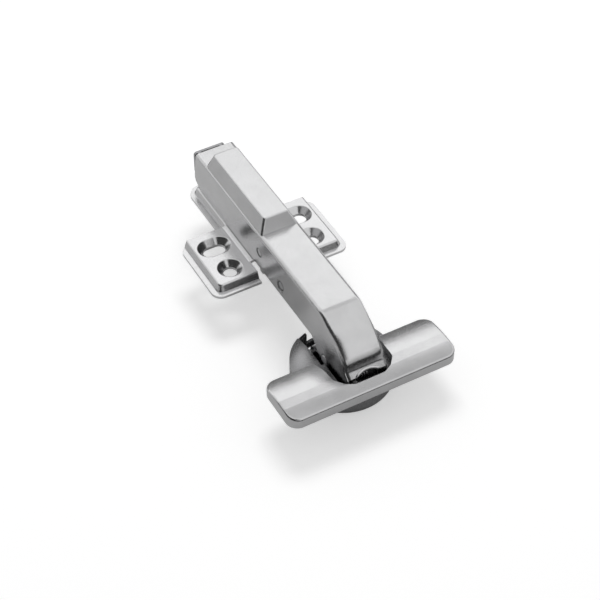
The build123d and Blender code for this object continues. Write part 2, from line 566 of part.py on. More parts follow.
# Arm: one pressed channel, open below, its nose bent down into the cup
roof_out = [(ARM_TAIL_X, ARM_TOP_Z), (BEND_X, ARM_TOP_Z), NOSE_MID, NOSE_BROW, NOSE_LOW, NOSE_END]
roof_radii = [(BEND_X, BEND_R), (NOSE_MID[0], NOSE_MID_R), (NOSE_BROW[0], NOSE_BROW_R),
              (NOSE_LOW[0], NOSE_LOW_R)]
NOSE_DIP = (NOSE_LOW[1] - NOSE_END[1]) / (NOSE_END[0] - NOSE_LOW[0])
tip_low = (NOSE_END[0] + FAR / 4, NOSE_END[1] - NOSE_DIP * FAR / 4)
with BuildPart() as hinge_arm:
    with BuildSketch(Plane.XZ):
        with BuildLine():
            Polyline((ARM_REAR_TOP_X, ARM_TOP_Z), (BEND_X, ARM_TOP_Z), NOSE_MID, NOSE_BROW, NOSE_LOW,
                     NOSE_END, *NOSE_WALL, (TAB_X[1], ARM_LOW_Z), (TAB_X[1], TAB_LOW_Z),
                     (TAB_X[0], TAB_LOW_Z), (TAB_X[0], ARM_LOW_Z),
                     (ARM_FOOT_X, ARM_LOW_Z), (ARM_REAR_X, ARM_LOW_Z + ARM_FOOT_RISE),
                     close=True)
        make_face()
        for bend_x, bend_r in roof_radii:
            bend = [v for v in vertices() if abs(v.X - bend_x) < NEAR and v.Y > NOSE_END[1]]
            fillet(bend, radius=bend_r)
        foot = [v for v in vertices() if v.X < ARM_FOOT_X + NEAR and v.Y < ARM_LOW_Z + ARM_FOOT_RISE + NEAR]
        fillet(foot, radius=ARM_FOOT_R)
        tab = [v for v in vertices() if TAB_X[0] - NEAR < v.X < TAB_X[1] + NEAR and v.Y < TAB_LOW_Z + NEAR]
        fillet(tab, radius=TAB_R)
        heel = [v for v in vertices() if abs(v.X - NOSE_WALL[-1][0]) < NEAR]
        fillet(heel, radius=ARM_HEEL_R)
        chin = [v for v in vertices() if v.X > NOSE_WALL[-1][0] + OVERCUT and v.Y < NOSE_WALL[0][1] + NEAR]
        fillet(chin, radius=ARM_CHIN_R)
    extrude(amount=ARM_Y, both=True)
    side_edges = [e for e in edges() if abs(abs(e.center().Y) - ARM_Y) < NEAR]
    rim = [e for e in side_edges if e.center().Z > ARM_TOP_Z - NEAR
           or (e.center().X > BEND_X - BEND_R / 2 and e.center().Z > NOSE_END[1])]
    fillet(rim, radius=ARM_EDGE_R)
    with BuildSketch(Plane.XZ):
        with BuildLine():
            Polyline(*roof_out, tip_low, (ARM_TAIL_X, tip_low[1]), close=True)
        make_face()
        for bend_x, bend_r in roof_radii:
            bend = [v for v in vertices() if abs(v.X - bend_x) < NEAR and v.Y > NOSE_END[1]]
            fillet(bend, radius=bend_r)
        offset(amount=-ARM_T, kind=Kind.INTERSECTION, mode=Mode.REPLACE)
    extrude(amount=ARM_IN_Y, both=True, mode=Mode.SUBTRACT)
    # Arched lower edge of the nose
    with BuildSketch(Plane.YZ.offset(ARM_PIVOT_B[0])):
        with BuildLine():
            ThreePointArc((-NOSE_ARCH[0], NOSE_ARCH[1]), (0, NOSE_ARCH[2]), (NOSE_ARCH[0], NOSE_ARCH[1]))
            Polyline((NOSE_ARCH[0], NOSE_ARCH[1]), (NOSE_ARCH[0], 0), (-NOSE_ARCH[0], 0),
                     (-NOSE_ARCH[0], NOSE_ARCH[1]))
        make_face()
    extrude(amount=FAR, mode=Mode.SUBTRACT)
    # Pivots and the shallow marks round them
    with BuildSketch(Plane.XZ):
        with Locations(TILT_PIN):
            Circle(TILT_PIN_R + FIT)
        with Locations(ARM_PIVOT_A):
            Circle(RIVET_R + FIT)
    extrude(amount=ARM_Y, both=True, mode=Mode.SUBTRACT)
    with BuildSketch(Plane.XZ):
        with Locations(ARM_PIVOT_B):
            Circle(RIVET_R + FIT)
    extrude(amount=ARM_Y - BLIND_WALL, both=True, mode=Mode.SUBTRACT)
    for side in (1, -1):
        with BuildSketch(Plane.XZ.offset(-side * ARM_Y)):
            with Locations(TILT_PIN):
                Circle(TILT_PIN_R + TILT_MARK_W)
            with Locations(ARM_MARK):
                Circle(ARM_MARK_R)
        extrude(amount=side * MARK_DEPTH, mode=Mode.SUBTRACT)
    # Cross slot of the depth cam, thread hole and the windows of the cover's clips
    with BuildSketch(Plane.XY.offset(ARM_TOP_Z)):
        with Locations((CAM_X, 0)):
            RectangleRounded(2 * (CAM_DISC_R + CAM_PLAY), 2 * (CAM_DISC_R + CAM_THROW + CAM_PLAY / 2),
                             SLOT_CORNER_R)
        with Locations((OVERLAY_X, 0)):
            Circle(OVERLAY_R + FIT)
        with Locations(*[(x, s * CLIP_Y) for x in CLIP_X for s in (1, -1)]):
            Rectangle(CLIP_L + 2 * CLIP_PLAY, CLIP_T + CLIP_BARB + 2 * CLIP_PLAY)
    extrude(amount=-2 * ARM_T, mode=Mode.SUBTRACT)
hinge_arm.part.label = "hinge_arm"
export_step(hinge_arm.part, "parts/hinge_arm.step")

# Arm cover: tapered shell with four clips
def cover_body(inset, height):
    """Tapered body of the arm's cover, drawn smaller by inset for its hollow."""
    run = COVER_RUN * height / COVER_H
    with BuildPart() as body:
        for level, shrink in ((0, inset), (height, inset + run)):
            with BuildSketch(Plane.XY.offset(ARM_TOP_Z + level)) as plan:
                with Locations(((COVER_REAR_X + COVER_FRONT_X) / 2, 0)):
                    Rectangle(COVER_FRONT_X - COVER_REAR_X - 2 * shrink, 2 * (COVER_Y - shrink))
                fillet(plan.vertices().group_by(Axis.X)[0], radius=COVER_CORNER_R - CORNER_LOSS * shrink)
                fillet(plan.vertices().group_by(Axis.X)[-1], radius=COVER_NOSE_R)
        loft(ruled=True)
    return body.part


COVER_SLANT_T = COVER_T * hypot(COVER_RUN, COVER_H) / COVER_H
cover_solid = cover_body(0, COVER_H)
cover_hollow = cover_body(COVER_SLANT_T, COVER_H - COVER_T)
with BuildPart() as arm_cover:
    add(cover_solid)
    fillet(arm_cover.faces().sort_by(Axis.Z)[-1].edges(), radius=COVER_EDGE_R)
    add(cover_hollow, mode=Mode.SUBTRACT)
    for side in (1, -1):
        for clip_x in CLIP_X:
            with BuildSketch(Plane.XY.offset(ARM_TOP_Z + COVER_H - COVER_T / 2)):
                with Locations((clip_x, side * (CLIP_Y - CLIP_BARB / 2))):
                    Rectangle(CLIP_L, CLIP_T)
            extrude(amount=-(COVER_H - COVER_T / 2 + ARM_T + CLIP_BARB + 2 * CLIP_PLAY))
    with BuildSketch(Plane.YZ.offset(0)):
        with BuildLine():
            Polyline((CLIP_Y - CLIP_BARB / 2, CLIP_END_Z), (CLIP_Y + CLIP_T / 2 - CLIP_BARB / 2, CLIP_END_Z),
                     (CLIP_Y + CLIP_T / 2 + CLIP_BARB / 2, CLIP_END_Z + CLIP_BARB),
                     (CLIP_Y - CLIP_BARB / 2, CLIP_END_Z + CLIP_BARB), close=True)
        make_face()
        mirror(about=Plane.YZ)
    barbs = extrude(amount=CLIP_L / 2, both=True, mode=Mode.PRIVATE)
    with Locations(*[(x, 0, 0) for x in CLIP_X]):
        add(barbs)
arm_cover.part.label = "arm_cover"
export_step(arm_cover.part, "parts/arm_cover.step")

# Links of the four-bar: the inner one narrow with two eyes, the outer one a fork round it
inner_run = Vector(*CUP_PIVOT_A) - Vector(*ARM_PIVOT_A)
inner_angle = degrees(atan2(inner_run.Y, inner_run.X))
with BuildPart() as inner_link:
    with BuildSketch(Plane.XZ):
        with Locations(ARM_PIVOT_A):
            Circle(INNER_EYE_R)
        with Locations(CUP_PIVOT_A):
            Circle(INNER_EYE_R)
        with Locations(Location((ARM_PIVOT_A[0], ARM_PIVOT_A[1], 0), (0, 0, inner_angle))):
            with Locations((inner_run.length / 2, -(INNER_EYE_R - LINK_T / 2))):
                Rectangle(inner_run.length, LINK_T)
        with Locations(ARM_PIVOT_A, CUP_PIVOT_A):
            Circle(RIVET_R + FIT, mode=Mode.SUBTRACT)
    extrude(amount=INNER_LINK_Y, both=True)
inner_link.part.label = "inner_link"
export_step(inner_link.part, "parts/inner_link.step")

outer_run = Vector(*ARM_PIVOT_B) - Vector(*CUP_PIVOT_B)
outer_angle = degrees(atan2(outer_run.Y, outer_run.X))
OPEN_EYE_R = RIVET_R + OPEN_PIVOT_CLEARANCE
with BuildPart() as outer_link:
    with BuildSketch(Plane.XZ):
        with Locations(CUP_PIVOT_B):
            Circle(OUTER_EYE_R)
        with Locations(ARM_PIVOT_B):
            Circle(OPEN_EYE_R + EYE_WALL)
        with Locations(Location((CUP_PIVOT_B[0], CUP_PIVOT_B[1], 0), (0, 0, outer_angle))):
            with Locations((outer_run.length / 2, 0)):
                Rectangle(outer_run.length, 2 * LINK_HALF_W)
        with Locations(CUP_PIVOT_B):
            Circle(RIVET_R + FIT, mode=Mode.SUBTRACT)
        with Locations(ARM_PIVOT_B):
            Circle(OPEN_EYE_R, mode=Mode.SUBTRACT)
    extrude(amount=OUTER_LINK_Y, both=True)
    with BuildSketch(Plane.XZ):
        with Locations(Location((CUP_PIVOT_B[0], CUP_PIVOT_B[1], 0), (0, 0, outer_angle))):
            with Locations((outer_run.length / 2, FAR / 2 - LINK_HALF_W + LINK_T)):
                Rectangle(FAR, FAR)
            with Locations((BRIDGE[0] - FAR / 2, 0), (BRIDGE[1] + FAR / 2, 0)):
                Rectangle(FAR, FAR)
    extrude(amount=OUTER_LINK_Y - LINK_PLATE_T, both=True, mode=Mode.SUBTRACT)
outer_link.part.label = "outer_link"
export_step(outer_link.part, "parts/outer_link.step")

# Rivets of the links
with BuildPart() as arm_pin_rear:
    with BuildSketch(Plane.XZ):
        with Locations(ARM_PIVOT_A):
            Circle(RIVET_R)
    extrude(amount=ARM_Y, both=True)
    for side in (1, -1):
        with BuildSketch(Plane.XZ.offset(-side * ARM_Y)):
            with Locations(ARM_PIVOT_A):
                Circle(RIVET_HEAD_R)
        extrude(amount=-side * RIVET_PROUD, taper=RIVET_TAPER)
arm_pin_rear.part.label = "arm_pin_rear"
export_step(arm_pin_rear.part, "parts/arm_pin_rear.step")

with BuildPart() as arm_pin_front:
    with BuildSketch(Plane.XZ):
        with Locations(ARM_PIVOT_B):
            Circle(RIVET_R)
    extrude(amount=ARM_Y - BLIND_WALL, both=True)
arm_pin_front.part.label = "arm_pin_front"
export_step(arm_pin_front.part, "parts/arm_pin_front.step")

with BuildPart() as cup_pin_rear:
    with BuildSketch(Plane.XZ):
        with Locations(CUP_PIVOT_A):
            Circle(RIVET_R)
    extrude(amount=POCKET_Y + CUP_T, both=True)
cup_pin_rear.part.label = "cup_pin_rear"
export_step(cup_pin_rear.part, "parts/cup_pin_rear.step")

with BuildPart() as cup_pin_front:
    with BuildSketch(Plane.XZ):
        with Locations(CUP_PIVOT_B):
            Circle(RIVET_R)
    extrude(amount=POCKET_Y + CUP_T, both=True)
    with BuildSketch(Plane.XZ):
        with Locations(CUP_PIVOT_B):
            Circle(RIVET_R + OVERCUT)
    extrude(amount=INNER_LINK_Y + STUB_GAP, both=True, mode=Mode.SUBTRACT)
cup_pin_front.part.label = "cup_pin_front"
export_step(cup_pin_front.part, "parts/cup_pin_front.step")

# Sleeve and closing spring on the front rivet of the arm
with BuildPart() as spring_roller:
    with BuildSketch(Plane.XZ):
        with Locations(ARM_PIVOT_B):
            Circle(ROLLER_R)
            Circle(RIVET_R + FIT, mode=Mode.SUBTRACT)
    extrude(amount=OUTER_LINK_Y - LINK_PLATE_T - ROLLER_END_GAP, both=True)
spring_roller.part.label = "spring_roller"
export_step(spring_roller.part, "parts/spring_roller.step")

SPRING_R = ROLLER_R + SPRING_WIRE_R + SPRING_TURN_GAP
SPRING_TURNS = 3 + (90 - outer_angle) / 360
closing_coil = wound_spring(SPRING_R, SPRING_WIRE_R, SPRING_W, SPRING_TURNS, SPRING_LEG_A, SPRING_LEG_B)
with BuildPart() as closing_spring:
    with Locations(Plane(origin=(ARM_PIVOT_B[0], 0, ARM_PIVOT_B[1]), x_dir=(1, 0, 0), z_dir=(0, 1, 0))):
        add(closing_coil)
closing_spring.part.label = "closing_spring"
export_step(closing_spring.part, "parts/closing_spring.step")

# Cup: domed cheeks either side of the pocket, cored from below, with the flange over its front half
with BuildPart() as cup:
    with BuildSketch(Plane.XZ):
        with BuildLine():
            Polyline((CUP_X, CUP_FLOOR_Z), (CUP_X + CUP_R, CUP_FLOOR_Z), (CUP_X + CUP_R, SHOULDER_EDGE_Z))
            ThreePointArc((CUP_X + CUP_R, SHOULDER_EDGE_Z), (CUP_X + DOME_MID[0], DOME_MID[1]),
                          (CUP_X + POCKET_Y, SHOULDER_TOP_Z))
            Polyline((CUP_X + POCKET_Y, SHOULDER_TOP_Z), (CUP_X, SHOULDER_TOP_Z), (CUP_X, CUP_FLOOR_Z))
        make_face()
        base_corner = [v for v in vertices() if v.X > CUP_X and v.Y < CUP_FLOOR_Z + NEAR]
        fillet(base_corner, radius=CUP_BASE_R)
    revolve(axis=Axis((CUP_X, 0, 0), (0, 0, 1)))
    # Wall under the flange
    with BuildSketch(Plane.XY.offset(SHOULDER_EDGE_Z)):
        with Locations((CUP_X, 0)):
            Circle(CUP_R)
        with Locations((FLANGE_REAR_X - FAR / 2, 0)):
            Rectangle(FAR, FAR, mode=Mode.SUBTRACT)
    extrude(amount=DOOR_Z - SHOULDER_EDGE_Z)
    with BuildSketch(Plane.XY.offset(DOOR_Z)):
        with Locations(((FLANGE_REAR_X + FLANGE_FRONT_X) / 2, 0)):
            RectangleRounded(FLANGE_FRONT_X - FLANGE_REAR_X, 2 * FLANGE_Y, CAP_CORNER_R - CAP_T - CAP_SEAT)
        with Locations((FLANGE_SCREW_X, FLANGE_SCREW_Y), (FLANGE_SCREW_X, -FLANGE_SCREW_Y)):
            Circle(FLANGE_SCREW_D / 2, mode=Mode.SUBTRACT)
    extrude(amount=FLANGE_T)
    # Cheeks cored from below
    with BuildSketch(Plane.XY.offset(CUP_FLOOR_Z)):
        with Locations((CUP_X, 0)):
            Circle(CUP_R - CHEEK_T)
        with Locations((CUP_X, 0)):
            Rectangle(2 * CUP_R, 2 * (POCKET_Y + CUP_T), mode=Mode.SUBTRACT)
    extrude(amount=CORE_TOP_Z - CUP_FLOOR_Z, mode=Mode.SUBTRACT)
    # Pocket for the arm's nose and the links
    with BuildSketch(Plane.XY.offset(CUP_FLOOR_Z + CUP_T)):
        with Locations((CUP_X, 0)):
            Circle(CUP_R - CUP_T)
        with Locations((CUP_X, 0)):
            Rectangle(2 * CUP_R, 2 * POCKET_Y, mode=Mode.INTERSECT)
    extrude(amount=FLANGE_T + DOOR_Z - CUP_FLOOR_Z, mode=Mode.SUBTRACT)
    # Rear wall, lower than the cheeks, and slotted for the link
    with BuildSketch(Plane.XY.offset(TAB_TOP_Z)):
        with Locations((CUP_X - CUP_R, 0)):
            Rectangle(CUP_R, 2 * POCKET_Y)
    extrude(amount=-TAB_TOP_Z, mode=Mode.SUBTRACT)
    with BuildSketch(Plane.XY.offset(SLOT_LOW_Z)):
        with Locations((CUP_X - CUP_R, 0)):
            Rectangle(CUP_R, 2 * SLOT_Y)
    extrude(amount=TAB_TOP_Z - SLOT_LOW_Z + OVERCUT, mode=Mode.SUBTRACT)
    with BuildSketch(Plane.XZ):
        with Locations(CUP_PIVOT_A, CUP_PIVOT_B):
            Circle(RIVET_R + FIT)
    extrude(amount=POCKET_Y + CUP_T, both=True, mode=Mode.SUBTRACT)
cup.part.label = "cup"
export_step(cup.part, "parts/cup.step")

# Cover of the flange: crowned plate with turned-down walls and the opening for the arm
def cap_body(inset):
    """Crowned plate of the cover as one closed body, drawn smaller by inset for its hollow."""
    rear = CAP_REAR_X + inset
    front = CAP_FRONT_X - inset
    with BuildPart() as body:
        with BuildSketch(Plane.XZ):
            with BuildLine():
                Polyline((rear, CAP_REAR_Z - inset), (rear, DOOR_Z), (front, DOOR_Z),
                         (front, CAP_FRONT_Z - inset))
                ThreePointArc((front, CAP_FRONT_Z - inset), (CAP_CROWN[0], CAP_CROWN[1] - inset),
                              (rear, CAP_REAR_Z - inset))
            make_face()
        extrude(amount=CAP_Y, both=True)
        with BuildSketch(Plane.XY.offset(DOOR_Z)):
            with Locations(((rear + front) / 2, 0)):
                RectangleRounded(front - rear, 2 * (CAP_Y - inset), CAP_CORNER_R - inset)
        extrude(amount=CAP_CROWN[1] - DOOR_Z, mode=Mode.INTERSECT)
    return body.part


mouth_points = [(CAP_REAR_X - CAP_T - MOUTH_R, MOUTH_REAR_Y), (CAP_REAR_X, MOUTH_REAR_Y), *MOUTH]
with BuildSketch(Plane.XY.offset(DOOR_Z)) as mouth:
    with BuildLine():
        Polyline(*mouth_points, *[(x, -y) for x, y in reversed(mouth_points)], close=True)
    make_face()
    fillet([v for v in vertices() if v.X > CAP_REAR_X + NEAR], radius=MOUTH_R)

cap_solid = cap_body(0)
cap_hollow = cap_body(CAP_T)
with BuildPart() as mouth_wall:
    with BuildSketch(Plane.XY.offset(DOOR_Z + FLANGE_T)):
        add(mouth.sketch_local)
        offset(amount=CAP_T, mode=Mode.REPLACE)
    extrude(amount=CAP_CROWN[1] - DOOR_Z)
    add(cap_hollow, mode=Mode.INTERSECT)

with BuildPart() as cup_cover:
    add(cap_solid)
    top_rim = [e for e in edges() if e.bounding_box().min.Z > DOOR_Z + FLANGE_T]
    fillet(top_rim, radius=CAP_EDGE_R)
    add(cap_hollow, mode=Mode.SUBTRACT)
    add(mouth_wall.part)
    add(mouth.sketch)
    extrude(amount=CAP_CROWN[1] - DOOR_Z, mode=Mode.SUBTRACT)
cup_cover.part.label = "cup_cover"
export_step(cup_cover.part, "parts/cup_cover.step")
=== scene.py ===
"""Studio scene of a concealed cup hinge: its finishes, rolled nose edge, floor, cards, lamp and camera."""
import json
import logging
import math
from dataclasses import dataclass, field
from enum import Enum
from typing import Any, Optional, Union

import bmesh
import bpy
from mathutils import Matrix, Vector


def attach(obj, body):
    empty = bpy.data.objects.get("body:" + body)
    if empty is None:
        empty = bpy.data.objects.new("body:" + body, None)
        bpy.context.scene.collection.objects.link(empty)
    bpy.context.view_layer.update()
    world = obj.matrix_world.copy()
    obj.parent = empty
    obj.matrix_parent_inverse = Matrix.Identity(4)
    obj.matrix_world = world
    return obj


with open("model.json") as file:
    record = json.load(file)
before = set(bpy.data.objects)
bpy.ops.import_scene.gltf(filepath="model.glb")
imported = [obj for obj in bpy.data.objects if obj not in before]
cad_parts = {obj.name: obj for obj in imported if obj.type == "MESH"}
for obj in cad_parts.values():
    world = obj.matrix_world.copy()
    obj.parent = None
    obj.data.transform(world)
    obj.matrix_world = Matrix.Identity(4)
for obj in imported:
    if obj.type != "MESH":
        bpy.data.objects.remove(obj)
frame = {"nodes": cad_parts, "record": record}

LOG = logging.getLogger("cup_hinge")
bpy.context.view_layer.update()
MM = 0.001

Number = Union["Signal", float]
Triple = tuple[float, float, float]
Pair = tuple[float, float]
NOISE_MIDDLE = 0.5
WHITE: Triple = (1.0, 1.0, 1.0)
BLACK: Triple = (0.0, 0.0, 0.0)


class Signal:
    """A number that varies over a surface, kept as a socket so that sums on it add Math nodes."""

    def __init__(self, sheet: "ShaderSheet", socket: bpy.types.NodeSocket) -> None:
        """Wraps a socket.

        Args:
            sheet: the material that the socket belongs to.
            socket: an output socket with a single number.
        """
        self.sheet = sheet
        self.socket = socket

    def _math(self, operation: str, first: Number, second: Number) -> "Signal":
        """Adds one Math node.

        Args:
            operation: the Math node's operation.
            first: its first value.
            second: its second value.

        Returns:
            The node's result.
        """
        node = self.sheet.node("ShaderNodeMath", {"operation": operation}, {0: first, 1: second})
        return Signal(self.sheet, node.outputs[0])

    def __add__(self, other: Number) -> "Signal":
        """Sum."""
        return self._math("ADD", self, other)

    __radd__ = __add__

    def __sub__(self, other: Number) -> "Signal":
        """Difference."""
        return self._math("SUBTRACT", self, other)

    def __rsub__(self, other: Number) -> "Signal":
        """Difference from a number."""
        return self._math("SUBTRACT", other, self)

    def __mul__(self, other: Number) -> "Signal":
        """Product."""
        return self._math("MULTIPLY", self, other)

    __rmul__ = __mul__

    def most(self, other: Number) -> "Signal":
        """The larger of this and another value."""
        return self._math("MAXIMUM", self, other)

    def size(self) -> "Signal":
        """The value without its sign."""
        return self._math("ABSOLUTE", self, 0.0)

    def pingpong(self, scale: float) -> "Signal":
        """Runs up and down between 0 and scale as this value grows."""
        return self._math("PINGPONG", self, scale)

    def ramp(self, low: float, high: float, at_low: float = 0.0, at_high: float = 1.0) -> "Signal":
        """Eases between two values as this one goes from low to high.

        Args:
            low: where the ramp starts.
            high: where the ramp ends.
            at_low: value at and below low.
            at_high: value at and above high.

        Returns:
            The eased value.
        """
        inputs = {"Value": self, "From Min": low, "From Max": high, "To Min": at_low, "To Max": at_high}
        settings = {"interpolation_type": "SMOOTHSTEP"}
        node = self.sheet.node("ShaderNodeMapRange", settings, inputs)
        return Signal(self.sheet, node.outputs["Result"])


class ShaderSheet:
    """A node tree being filled in, with one method that adds any node."""

    OPEN_SAMPLES = 6
    BEVEL_SAMPLES = 4

    def __init__(self, tree: bpy.types.NodeTree) -> None:
        """Empties the tree.

        Args:
            tree: the node tree of a material or of the world.
        """
        self.tree = tree
        self.tree.nodes.clear()

    def node(self, kind: str, settings: Optional[dict[str, Any]] = None,
             inputs: Optional[dict[Any, Any]] = None) -> bpy.types.Node:
        """Adds a node, sets it up and feeds its sockets.

        Args:
            kind: the node's type.
            settings: its own settings, which are set first.
            inputs: socket name, identifier or index to a value, socket or Signal.

        Returns:
            The node.
        """
        made = self.tree.nodes.new(kind)
        for name, value in (settings or {}).items():
            setattr(made, name, value)
        for key, value in (inputs or {}).items():
            self._feed(self._socket(made, key), value)
        return made

    @staticmethod
    def _socket(made: bpy.types.Node, key: Any) -> bpy.types.NodeSocket:
        """Finds an input by index, identifier or name.

        Args:
            made: the node.
            key: index, identifier or name.

        Returns:
            The input socket.
        """
        if isinstance(key, int):
            return made.inputs[key]
        for socket in made.inputs:
            if socket.identifier == key:
                return socket
        return made.inputs[key]

    def _feed(self, socket: bpy.types.NodeSocket, value: Any) -> None:
        """Links or sets one input.

        Args:
            socket: the input.
            value: a Signal, a socket, a number or a tuple of numbers.
        """
        if isinstance(value, Signal):
            self.tree.links.new(value.socket, socket)
        elif isinstance(value, bpy.types.NodeSocket):
            self.tree.links.new(value, socket)
        elif socket.type == "RGBA" and len(value) == 3:
            socket.default_value = (*value, 1.0)
        else:
            socket.default_value = value

    def place(self, stretch: Triple = (1.0, 1.0, 1.0)) -> bpy.types.NodeSocket:
        """Position on the object in metres, stretched along each axis.

        Args:
            stretch: factor along each axis.

        Returns:
            A vector socket.
        """
        spot = self.node("ShaderNodeTexCoord").outputs["Object"]
        settings = {"operation": "MULTIPLY"}
        return self.node("ShaderNodeVectorMath", settings, {0: spot, 1: stretch}).outputs["Vector"]

    def noise(self, where: bpy.types.NodeSocket, scale: float, detail: float = 3.0,
              rough: float = 0.5) -> Signal:
        """Soft random value between 0 and 1.

        Args:
            where: position that it is read at.
            scale: cells per metre of the position.
            detail: octaves.
            rough: share of the finer octaves.

        Returns:
            The value.
        """
        inputs = {"Vector": where, "Scale": scale, "Detail": detail, "Roughness": rough}
        node = self.node("ShaderNodeTexNoise", {"noise_dimensions": "3D"}, inputs)
        return Signal(self, node.outputs[0])

    def blend(self, factor: Number, first: Any, second: Any) -> bpy.types.NodeSocket:
        """Mixes two colours.

        Args:
            factor: share of the second colour.
            first: a colour or a colour socket.
            second: a colour or a colour socket.

        Returns:
            A colour socket.
        """
        settings = {"data_type": "RGBA", "blend_type": "MIX", "clamp_factor": True}
        inputs = {"Factor_Float": factor, "A_Color": first, "B_Color": second}
        made = self.node("ShaderNodeMix", settings, inputs)
        return next(s for s in made.outputs if s.identifier == "Result_Color")

    def hollow(self, reach: float) -> Signal:
        """How open a place is: 1 in the open, towards 0 deep in a corner.

        Args:
            reach: how far the neighbouring walls are looked for, in metres.

        Returns:
            The openness.
        """
        node = self.node("ShaderNodeAmbientOcclusion", {"samples": self.OPEN_SAMPLES}, {"Distance": reach})
        return Signal(self, node.outputs["AO"])

    def rounded(self, radius: float) -> bpy.types.NodeSocket:
        """Surface direction with its sharp edges softened.

        Args:
            radius: the softened width in metres.

        Returns:
            A vector socket.
        """
        settings = {"samples": self.BEVEL_SAMPLES}
        return self.node("ShaderNodeBevel", settings, {"Radius": radius}).outputs["Normal"]

    def xyz(self, axis: str) -> Signal:
        """Position on the object along one axis.

        Args:
            axis: X, Y or Z.

        Returns:
            The position in metres.
        """
        parted = self.node("ShaderNodeSeparateXYZ", {}, {0: self.place()})
        return Signal(self, parted.outputs[axis])

    def bump(self, height: Number, distance: float, normal: Optional[bpy.types.NodeSocket] = None,
             strength: float = 1.0) -> bpy.types.NodeSocket:
        """Surface direction with a relief.

        Args:
            height: height of the relief, as a share of the distance.
            distance: depth of the relief in metres.
            normal: direction that it is added to, or None for the mesh's own.
            strength: share of the relief that shows.

        Returns:
            A vector socket.
        """
        inputs = {"Strength": strength, "Distance": distance, "Height": height}
        if normal is not None:
            inputs["Normal"] = normal
        return self.node("ShaderNodeBump", {}, inputs).outputs["Normal"]

    def surface(self, shader: bpy.types.Node) -> None:
        """Makes a shader the material's surface."""
        self.node("ShaderNodeOutputMaterial", {}, {"Surface": shader.outputs[0]})

    def edge(self, soft: bpy.types.NodeSocket) -> Signal:
        """How strongly the surface turns at an edge, from 0 on a flat to 1 on a sharp edge.

        Args:
            soft: the softened direction.

        Returns:
            The edge value.
        """
        plain = self.node("ShaderNodeNewGeometry").outputs["Normal"]
        dot = self.node("ShaderNodeVectorMath", {"operation": "DOT_PRODUCT"}, {0: soft, 1: plain})
        return 1.0 - Signal(self, dot.outputs["Value"])


class Grain(Enum):
    """Direction of the fine lines in a metal surface, as the stretch of its noise along X, Y and Z."""

    SATIN = (1.0, 1.0, 1.0)
    ALONG_X = (0.12, 1.0, 1.0)
    ALONG_Y = (1.0, 0.10, 1.0)
    ALONG_Z = (1.0, 1.0, 0.12)


@dataclass(frozen=True)
class Crown:
    """Soft crown of the pressed nose: its face falls away towards both edges and towards its brow.

    The falls grow with the square of the way past the flat middle. They start along the arm between the two
    places of start, and the brow's fall fades out on the side walls, beyond the two places of wall.
    """

    start: Pair = (49.0 * MM, 57.0 * MM)
    flat_half: float = 3.5 * MM
    half: float = 7.45 * MM
    brow: Pair = (12.5 * MM, 6.5 * MM)
    wall: Pair = (7.1 * MM, 7.4 * MM)
    side_share: float = 0.65
    depth: float = 1.5 * MM

    def height(self, sheet: ShaderSheet) -> Signal:
        """Height of the crown over the pressed surface.

        Args:
            sheet: the material being filled in.

        Returns:
            The height, from 0 at the middle of the face to -1.
        """
        across = sheet.xyz("Y").size()
        out = (across - self.flat_half).most(0.0) * (1.0 / (self.half - self.flat_half))
        fall = (self.brow[0] - sheet.xyz("Z")).most(0.0)
        down = fall * (1.0 / (self.brow[0] - self.brow[1])) * across.ramp(*self.wall, 1.0, 0.0)
        begun = sheet.xyz("X").ramp(*self.start)
        sunk = out * out * self.side_share + down * down * (1.0 - self.side_share)
        return sunk * begun * -1.0


@dataclass(frozen=True)
class PinRing:
    """Dark line of the joint round the end of a cross pin, seen on the arm's side walls."""

    x: float
    z: float
    radius: float
    width: float = 0.34 * MM
    core: float = 0.4
    strength: float = 0.9

    def mask(self, sheet: ShaderSheet) -> Signal:
        """Where the line shows.

        Args:
            sheet: the material being filled in.

        Returns:
            The line's strength on the line, 0 away from it.
        """
        flat = sheet.node("ShaderNodeVectorMath", {"operation": "DISTANCE"}, {
            0: sheet.place((1.0, 0.0, 1.0)), 1: (self.x, 0.0, self.z)})
        away = Signal(sheet, flat.outputs["Value"]) - self.radius
        return away.size().ramp(self.core * self.width, self.width, self.strength, 0.0)


